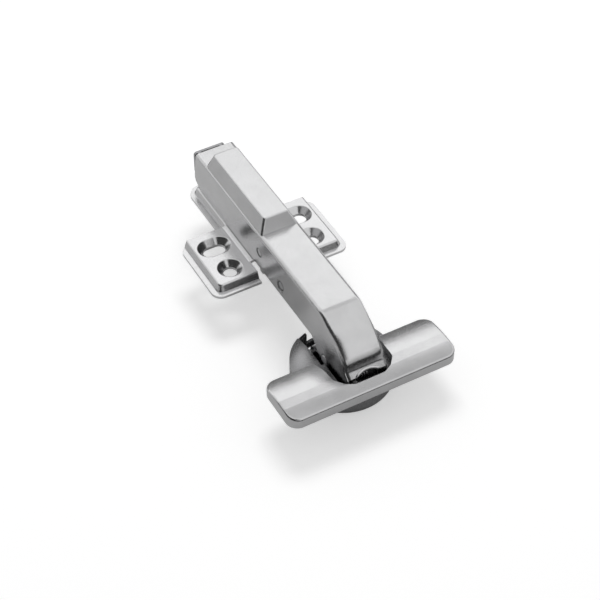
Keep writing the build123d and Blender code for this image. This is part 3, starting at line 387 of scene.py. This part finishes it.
@dataclass(frozen=True)
class MetalFinish:
    """A plated or bare metal surface with grain, soft mottling, a painted highlight on its edges and painted
    shade in its corners.
    """

    slot: str
    tint: Triple
    roughness: float
    grain: Grain = Grain.SATIN
    grain_size: float = 0.35 * MM
    grain_depth: float = 0.010 * MM
    grain_gloss: float = 0.10
    mottle: float = 0.04
    mottle_size: float = 9.0 * MM
    mottle_gloss: float = 0.08
    mottle_span: Pair = (0.3, 0.7)
    ripple_depth: float = 0.02 * MM
    ripple_share: float = 0.6
    # Edges: a softened normal, plus a painted highlight that lightens the colour there and lowers the
    # roughness.
    edge_width: float = 0.12 * MM
    edge_span: Pair = (0.02, 0.28)
    edge_painted_highlight: float = 0.45
    edge_share: float = 0.8
    edge_gloss: float = 0.06
    # Corners and recesses: painted shade that darkens the colour the nearer other walls are.
    corner_reach: float = 1.6 * MM
    corner_span: Pair = (0.08, 0.85)
    corner_painted_shade: float = 0.45
    least_roughness: float = 0.05
    thread_pitch: Optional[float] = None
    thread_depth: float = 0.12 * MM
    rings: tuple[PinRing, ...] = ()
    ring_tint: Triple = (0.03, 0.03, 0.03)
    crown: Optional[Crown] = None

    def build(self) -> bpy.types.Material:
        """Makes the material.

        Returns:
            The material, named after its slot.
        """
        material = bpy.data.materials.new(self.slot)
        material.use_nodes = True
        sheet = ShaderSheet(material.node_tree)
        lines = sheet.noise(sheet.place(self.grain.value), 1.0 / self.grain_size, detail=2.0, rough=0.6)
        cloud = sheet.noise(sheet.place(), 1.0 / self.mottle_size, detail=3.0, rough=0.55)
        soft = sheet.rounded(self.edge_width)
        rim = sheet.edge(soft).ramp(*self.edge_span)
        colour = self._colour(sheet, cloud, rim)
        gloss = self.roughness + (lines - NOISE_MIDDLE) * self.grain_gloss
        gloss = gloss + (cloud - NOISE_MIDDLE) * self.mottle_gloss - rim * self.edge_gloss
        sheet.surface(sheet.node("ShaderNodeBsdfPrincipled", {}, {
            "Base Color": colour, "Metallic": 1.0, "Roughness": gloss.most(self.least_roughness),
            "Normal": self._relief(sheet, lines, soft)}))
        material.diffuse_color = (*self.tint, 1.0)
        return material

    def _colour(self, sheet: ShaderSheet, cloud: Signal, rim: Signal) -> bpy.types.NodeSocket:
        """Colour of the metal: mottled, darkened in its corners and recesses as painted shade, lightened on
        its edges as a painted highlight.

        Args:
            sheet: the material being filled in.
            cloud: the mottling.
            rim: 1 on an edge, 0 on a flat.

        Returns:
            A colour socket.
        """
        pale = tuple(min(1.0, c * (1.0 + self.mottle)) for c in self.tint)
        deep = tuple(c * (1.0 - self.mottle) for c in self.tint)
        # painted highlight: a paler copy of the tint, laid on the edges
        painted_highlight_tint = tuple(min(1.0, c + (1.0 - c) * self.edge_painted_highlight) for c in self.tint)
        # painted shade: a darker copy of the tint, laid where nearby walls would shade the metal
        painted_shade_tint = tuple(c * (1.0 - self.corner_painted_shade) for c in self.tint)
        openness = sheet.hollow(self.corner_reach)
        colour = sheet.blend(cloud.ramp(*self.mottle_span), deep, pale)
        colour = sheet.blend(rim * self.edge_share, colour, painted_highlight_tint)
        colour = sheet.blend(openness.ramp(*self.corner_span, 1.0, 0.0), colour, painted_shade_tint)
        for ring in self.rings:
            colour = sheet.blend(ring.mask(sheet), colour, self.ring_tint)
        return colour

    def _relief(self, sheet: ShaderSheet, lines: Signal,
                soft: bpy.types.NodeSocket) -> bpy.types.NodeSocket:
        """Direction of the surface with its grain and slow ripple, and its crown or thread if it has one.

        Args:
            sheet: the material being filled in.
            lines: the grain.
            soft: direction with softened edges.

        Returns:
            A vector socket.
        """
        relief = sheet.bump(lines, self.grain_depth, soft)
        ripple_size = self.mottle_size * self.ripple_share
        swell = sheet.noise(sheet.place(), 1.0 / ripple_size, detail=1.0, rough=0.4)
        relief = sheet.bump(swell, self.ripple_depth, relief)
        if self.crown is not None:
            relief = sheet.bump(self.crown.height(sheet), self.crown.depth, relief)
        if self.thread_pitch is not None:
            crest = sheet.xyz("Z").pingpong(self.thread_pitch / 2) * (2.0 / self.thread_pitch)
            relief = sheet.bump(crest, self.thread_depth, relief)
        return relief


@dataclass(frozen=True)
class MouldedFinish:
    """A moulded plastic surface with a fine spark-eroded grain."""

    slot: str
    tint: Triple
    roughness: float
    grain_size: float = 0.25 * MM
    grain_depth: float = 0.02 * MM
    grain_strength: float = 0.6
    grain_gloss: float = 0.2
    grain_span: Pair = (0.35, 0.75)
    lift: float = 1.25

    def build(self) -> bpy.types.Material:
        """Makes the material.

        Returns:
            The material, named after its slot.
        """
        material = bpy.data.materials.new(self.slot)
        material.use_nodes = True
        sheet = ShaderSheet(material.node_tree)
        grit = sheet.noise(sheet.place(), 1.0 / self.grain_size, detail=2.0, rough=0.6)
        pale = tuple(c * self.lift for c in self.tint)
        sheet.surface(sheet.node("ShaderNodeBsdfPrincipled", {}, {
            "Base Color": sheet.blend(grit.ramp(*self.grain_span), self.tint, pale),
            "Roughness": grit * self.grain_gloss + self.roughness,
            "Normal": sheet.bump(grit, self.grain_depth, strength=self.grain_strength)}))
        material.diffuse_color = (*self.tint, 1.0)
        return material


# In each metal the corner values set its painted shade and the edge values its painted highlight.
FINISHES: dict[str, Union[MetalFinish, MouldedFinish]] = {f.slot: f for f in (
    MetalFinish("nickel_plate", (0.58, 0.58, 0.585), 0.21, grain_size=0.30 * MM, grain_depth=0.020 * MM,
                corner_reach=1.4 * MM, corner_painted_shade=0.5, edge_painted_highlight=0.6),
    MetalFinish("nickel_arm", (0.56, 0.56, 0.565), 0.23, grain_size=0.28 * MM, grain_depth=0.026 * MM,
                corner_reach=2.5 * MM, corner_painted_shade=0.75, crown=Crown(),
                rings=(PinRing(20.1 * MM, 8.2 * MM, 1.75 * MM), PinRing(49.9 * MM, 0.3 * MM, 2.0 * MM),
                       PinRing(5.2 * MM, 11.0 * MM, 1.6 * MM))),
    # The links get deep painted shade in their recesses inside the arm.
    MetalFinish("nickel_link", (0.42, 0.42, 0.43), 0.28, Grain.ALONG_X,
                corner_reach=6.0 * MM, corner_painted_shade=0.92),
    # The cup is a darker copy of the nickel, with deep painted shade in its pocket.
    MetalFinish("nickel_cup", (0.28, 0.28, 0.285), 0.27, Grain.ALONG_Z, mottle_size=14.0 * MM,
                corner_reach=9.0 * MM, corner_painted_shade=0.95, edge_painted_highlight=0.6),
    MetalFinish("cover_satin", (0.56, 0.56, 0.565), 0.23, grain_size=0.28 * MM, grain_depth=0.026 * MM,
                edge_width=0.2 * MM, edge_painted_highlight=0.6, corner_reach=1.2 * MM, corner_painted_shade=0.7),
    MetalFinish("cover_bright", (0.53, 0.53, 0.535), 0.18, grain_size=0.28 * MM, grain_depth=0.018 * MM,
                edge_width=0.2 * MM, edge_painted_highlight=0.6),
    MetalFinish("zinc_inner", (0.34, 0.34, 0.35), 0.34, grain_size=0.5 * MM, grain_depth=0.02 * MM,
                corner_reach=4.0 * MM, corner_painted_shade=0.88),
    MetalFinish("pin_steel", (0.52, 0.52, 0.53), 0.25, Grain.ALONG_Y),
    MetalFinish("screw_steel", (0.50, 0.50, 0.51), 0.28, thread_pitch=0.7 * MM),
    MetalFinish("spring_steel", (0.33, 0.33, 0.34), 0.30, Grain.ALONG_Y),
    MouldedFinish("sleeve_plastic", (0.06, 0.06, 0.065), 0.45),
)}


@dataclass
class SubAssembly:
    """The CAD nodes of one side of the hinge, and the pieces that ride with them."""

    title: str
    nodes: tuple[str, ...]

    def build(self, made: dict[str, bpy.types.Material]) -> None:
        """Makes the side's own pieces: none, unless a side has its own method.

        Args:
            made: material of each slot; not used here.
        """
        LOG.info("%s: all its pieces are the CAD's", self.title)

    def dress(self, slots: dict[str, str], made: dict[str, bpy.types.Material]) -> None:
        """Gives the side's nodes their materials.

        Args:
            slots: slot of each node.
            made: material of each slot.
        """
        for name in self.nodes:
            mesh = frame["nodes"][name].data
            if not mesh.materials:
                mesh.materials.append(made[slots[name]])
            for index in range(len(mesh.materials)):
                mesh.materials[index] = made[slots[name]]
            LOG.info("%s: dressed %s in %s", self.title, name, slots[name])


@dataclass
class PlateSide(SubAssembly):
    """Mounting plate, inner channel, depth cam and release lever."""

    title: str = "plate side"
    nodes: tuple[str, ...] = ("mounting_plate", "base_slide", "front_hook_pin", "cam_screw", "release_lever",
                              "lever_pin", "lever_spring")


@dataclass
class ArmSide(SubAssembly):
    """Arm, its cover, pins and spring, and the rolled edge of its nose."""

    title: str = "arm side"
    nodes: tuple[str, ...] = ("hinge_arm", "arm_cover", "tilt_pin", "overlay_screw", "arm_pin_rear",
                              "arm_pin_front", "spring_roller", "closing_spring")
    edge_slot: str = "nickel_arm"
    edge_half: float = 5.5 * MM
    edge_side_z: float = 3.7 * MM
    edge_mid_z: float = 5.35 * MM
    tip: Pair = (64.7 * MM, 4.5 * MM)
    slope_up: float = 1.0
    slope_down: float = 0.371
    inset: float = 0.504 * MM
    bead: float = 0.62 * MM
    bead_depth: float = 1.15
    end_bead: float = 0.35
    end_growth: float = 6.0
    stations: int = 41
    sides: int = 14

    def build(self, made: dict[str, bpy.types.Material]) -> None:
        """Rolls the arched lower edge of the nose.

        Args:
            made: material of each slot.
        """
        shape = bmesh.new()
        rings = [self._ring(shape, 2.0 * k / (self.stations - 1) - 1.0) for k in range(self.stations)]
        for first, second in zip(rings, rings[1:]):
            for k in range(self.sides):
                n = (k + 1) % self.sides
                shape.faces.new((first[k], first[n], second[n], second[k]))
        shape.faces.new(tuple(reversed(rings[0])))
        shape.faces.new(tuple(rings[-1]))
        bmesh.ops.recalc_face_normals(shape, faces=shape.faces)
        mesh = bpy.data.meshes.new("nose_edge")
        shape.to_mesh(mesh)
        shape.free()
        for face in mesh.polygons:
            face.use_smooth = True
        mesh.materials.append(made[self.edge_slot])
        piece = bpy.data.objects.new("nose_edge", mesh)
        bpy.context.scene.collection.objects.link(piece)
        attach(piece, "arm")
        LOG.info("%s: rolled nose edge, %d faces", self.title, len(mesh.polygons))

    def _ring(self, shape: bmesh.types.BMesh, along: float) -> list[bmesh.types.BMVert]:
        """One station of the rolled edge.

        Args:
            shape: the mesh being made.
            along: -1 at the left end, 1 at the right end.

        Returns:
            The station's points in order.
        """
        y = along * self.edge_half
        z = self.edge_mid_z - (self.edge_mid_z - self.edge_side_z) * along ** 2
        rise = z - self.tip[1]
        x = self.tip[0] - abs(rise) * (self.slope_up if rise > 0 else self.slope_down) - self.inset
        swell = self.bead * min(1.0, self.end_bead + self.end_growth * (1.0 - abs(along)))
        turns = [2.0 * math.pi * k / self.sides for k in range(self.sides)]
        return [shape.verts.new((x + self.bead_depth * swell * math.cos(turn), y,
                                 z + swell * math.sin(turn))) for turn in turns]


@dataclass
class LinkWork(SubAssembly):
    """The two links of the four-bar mechanism."""

    title: str = "link work"
    nodes: tuple[str, ...] = ("inner_link", "outer_link")


@dataclass
class CupSide(SubAssembly):
    """Cup, the cover of its flange and its pins."""

    title: str = "cup side"
    nodes: tuple[str, ...] = ("cup", "cup_cover", "cup_pin_rear", "cup_pin_front")


def seen_white(sheet: ShaderSheet, mirrored: float) -> Signal:
    """How white a backdrop looks: 1 to the camera, and a share of that in mirrored or let-through rays.

    Args:
        sheet: the material or world being filled in.
        mirrored: the share in mirrored and let-through rays.

    Returns:
        The value.
    """
    path = sheet.node("ShaderNodeLightPath")
    glossy, through, seen = (Signal(sheet, path.outputs[name])
                             for name in ("Is Glossy Ray", "Is Transmission Ray", "Is Camera Ray"))
    return (glossy.most(through) * mirrored).most(seen)


@dataclass
class Floor:
    """The plain pale table under the hinge."""

    height: float = -13.7 * MM
    half: float = 4.0
    albedo: float = 0.80
    lift: float = 0.50
    mirrored: float = 0.15
    roughness: float = 0.9

    def build(self) -> None:
        """Makes the table top and its material."""
        mesh = bpy.data.meshes.new("floor")
        h = self.half
        corners = [(-h, -h, self.height), (h, -h, self.height), (h, h, self.height), (-h, h, self.height)]
        mesh.from_pydata(corners, [], [(0, 1, 2, 3)])
        table = bpy.data.objects.new("floor", mesh)
        bpy.context.scene.collection.objects.link(table)
        mesh.materials.append(self._material())
        LOG.info("floor at %.1f mm", self.height / MM)

    def _material(self) -> bpy.types.Material:
        """Makes the table's surface: matt, lifted to white for the camera and partly so in reflections.

        Returns:
            The material.
        """
        material = bpy.data.materials.new("floor_white")
        material.use_nodes = True
        sheet = ShaderSheet(material.node_tree)
        matt = sheet.node("ShaderNodeBsdfPrincipled", {}, {
            "Base Color": (self.albedo,) * 3, "Roughness": self.roughness,
            "Specular IOR Level": 0.0})
        dark = sheet.node("ShaderNodeEmission", {}, {"Color": BLACK, "Strength": 0.0})
        glow = sheet.node("ShaderNodeEmission", {}, {"Color": WHITE, "Strength": self.lift})
        lifted = sheet.node("ShaderNodeMixShader", {}, {
            0: seen_white(sheet, self.mirrored), 1: dark.outputs[0], 2: glow.outputs[0]})
        sheet.surface(sheet.node("ShaderNodeAddShader", {}, {0: matt.outputs[0], 1: lifted.outputs[0]}))
        return material


@dataclass(frozen=True)
class SoftBox:
    """A rectangular studio lamp that faces a point of the hinge, unseen by the camera and by the metal."""

    name: str
    place: Triple
    aim: Triple
    width: float
    height: float
    radiance: float

    def build(self) -> None:
        """Makes the lamp."""
        data = bpy.data.lights.new(self.name, "AREA")
        data.shape = "RECTANGLE"
        data.size = self.width
        data.size_y = self.height
        data.energy = self.radiance * math.pi * self.width * self.height
        lamp = bpy.data.objects.new(self.name, data)
        bpy.context.scene.collection.objects.link(lamp)
        lamp.location = self.place
        lamp.rotation_mode = "QUATERNION"
        lamp.rotation_quaternion = (Vector(self.aim) - Vector(self.place)).to_track_quat("-Z", "Y")
        lamp.visible_camera = False
        lamp.visible_glossy = False


@dataclass(frozen=True)
class Card:
    """A curved studio card, black, grey or lit, that only the metal's reflections see.

    Its low and high rims are each a distance from the hinge and a height. Its azimuths are in degrees from X.
    """

    name: str
    azimuths: Pair
    low: Pair
    high: Pair
    shade: float
    steps: int = 28

    def build(self) -> None:
        """Makes the card between its low and high rims."""
        points, faces = [], []
        for k in range(self.steps + 1):
            turn = math.radians(self.azimuths[0] + (self.azimuths[1] - self.azimuths[0]) * k / self.steps)
            for away, height in (self.low, self.high):
                points.append((away * math.cos(turn), away * math.sin(turn), height))
        for k in range(self.steps):
            faces.append((2 * k, 2 * k + 1, 2 * k + 3, 2 * k + 2))
        mesh = bpy.data.meshes.new(self.name)
        mesh.from_pydata(points, [], faces)
        card = bpy.data.objects.new(self.name, mesh)
        bpy.context.scene.collection.objects.link(card)
        mesh.materials.append(self._material())
        card.visible_camera = False
        card.visible_diffuse = False
        card.visible_shadow = False
        LOG.info("card %s", self.name)

    def _material(self) -> bpy.types.Material:
        """Makes the card's even tone.

        Returns:
            The material.
        """
        material = bpy.data.materials.new(self.name)
        material.use_nodes = True
        sheet = ShaderSheet(material.node_tree)
        sheet.surface(sheet.node("ShaderNodeEmission", {}, {"Color": WHITE, "Strength": self.shade}))
        return material


@dataclass
class Studio:
    """The white surroundings, with room as their strength in diffuse light, a soft lamp and the cards."""

    lamps: tuple[SoftBox, ...] = (
        SoftBox("lamp_back", (-0.493, 0.273, 1.06), (0.01, 0.0, 0.0), 0.6, 0.40, 6.5),
    )
    cards: tuple[Card, ...] = (
        Card("card_sky", (105.0, 195.0), (0.90, 0.64), (0.76, 0.93), 1.56),
        Card("card_top", (105.0, 195.0), (0.66, 0.96), (0.46, 1.08), 0.68),
        Card("card_low", (-62.0, 75.0), (0.100, -0.0135), (0.42, -0.0130), 0.02),
        Card("card_front", (-62.0, 75.0), (0.42, -0.0130), (0.41, 0.010), 0.02),
        Card("card_horizon", (-29.0, 48.0), (0.42, 0.011), (0.40, 0.14), 0.62),
        Card("card_lens", (-52.0, -8.0), (0.54, 0.26), (0.28, 0.56), 0.03),
        Card("card_left", (-125.0, -30.0), (0.60, 0.004), (0.30, 0.56), 0.06),
        Card("card_rear", (112.0, 205.0), (0.66, 0.10), (0.56, 0.36), 0.22),
    )
    room: float = 0.38

    def build(self) -> None:
        """Makes the world, the lamps and the cards."""
        world = bpy.data.worlds.new("studio")
        bpy.context.scene.world = world
        world.use_nodes = True
        sheet = ShaderSheet(world.node_tree)
        soft = sheet.node("ShaderNodeBackground", {}, {"Color": WHITE, "Strength": self.room})
        white = sheet.node("ShaderNodeBackground", {}, {"Color": WHITE, "Strength": 1.0})
        both = sheet.node("ShaderNodeMixShader", {}, {
            0: seen_white(sheet, 1.0), 1: soft.outputs[0], 2: white.outputs[0]})
        sheet.node("ShaderNodeOutputWorld", {}, {"Surface": both.outputs[0]})
        for lamp in self.lamps:
            lamp.build()
        for card in self.cards:
            card.build()
        LOG.info("studio with %d lamps and %d cards", len(self.lamps), len(self.cards))


@dataclass
class StudioCamera:
    """The camera at the photograph's viewing angle, its azimuth counted from -Y towards X."""

    azimuth: float = math.radians(60.79)
    elevation: float = math.radians(45.85)
    lens: float = 100.33
    sensor: float = 36.0
    distance: float = 564.89 * MM
    target: Triple = (20.12 * MM, 0.0, -2.21 * MM)
    clip: Pair = (0.01, 50.0)

    def build(self) -> None:
        """Makes the camera and sets it as the scene's."""
        back = Vector((math.sin(self.azimuth) * math.cos(self.elevation),
                       -math.cos(self.azimuth) * math.cos(self.elevation),
                       math.sin(self.elevation)))
        data = bpy.data.cameras.new("camera")
        data.lens = self.lens
        data.sensor_width = self.sensor
        data.clip_start, data.clip_end = self.clip
        camera = bpy.data.objects.new("camera", data)
        bpy.context.scene.collection.objects.link(camera)
        camera.location = Vector(self.target) + back * self.distance
        camera.rotation_mode = "QUATERNION"
        camera.rotation_quaternion = (-back).to_track_quat("-Z", "Y")
        bpy.context.scene.camera = camera
        LOG.info("camera %.0f mm away", self.distance / MM)


@dataclass
class Hinge:
    """The hinge, from the panel to the door."""

    sides: tuple[SubAssembly, ...] = field(
        default_factory=lambda: (PlateSide(), ArmSide(), LinkWork(), CupSide()))

    def build(self) -> None:
        """Builds and dresses the four sides."""
        slots = {part["node"]: part["material_slot"] for part in frame["record"]["subparts"]}
        made = {name: finish.build() for name, finish in FINISHES.items()}
        for side in self.sides:
            side.dress(slots, made)
            side.build(made)


def main() -> None:
    """Builds the hinge, the studio and the camera."""
    logging.basicConfig(level=logging.INFO, format="%(name)s: %(message)s")
    bpy.context.scene.view_settings.view_transform = "Standard"
    StudioCamera().build()
    Hinge().build()
    Floor().build()
    Studio().build()


if __name__ == "__main__":
    main()
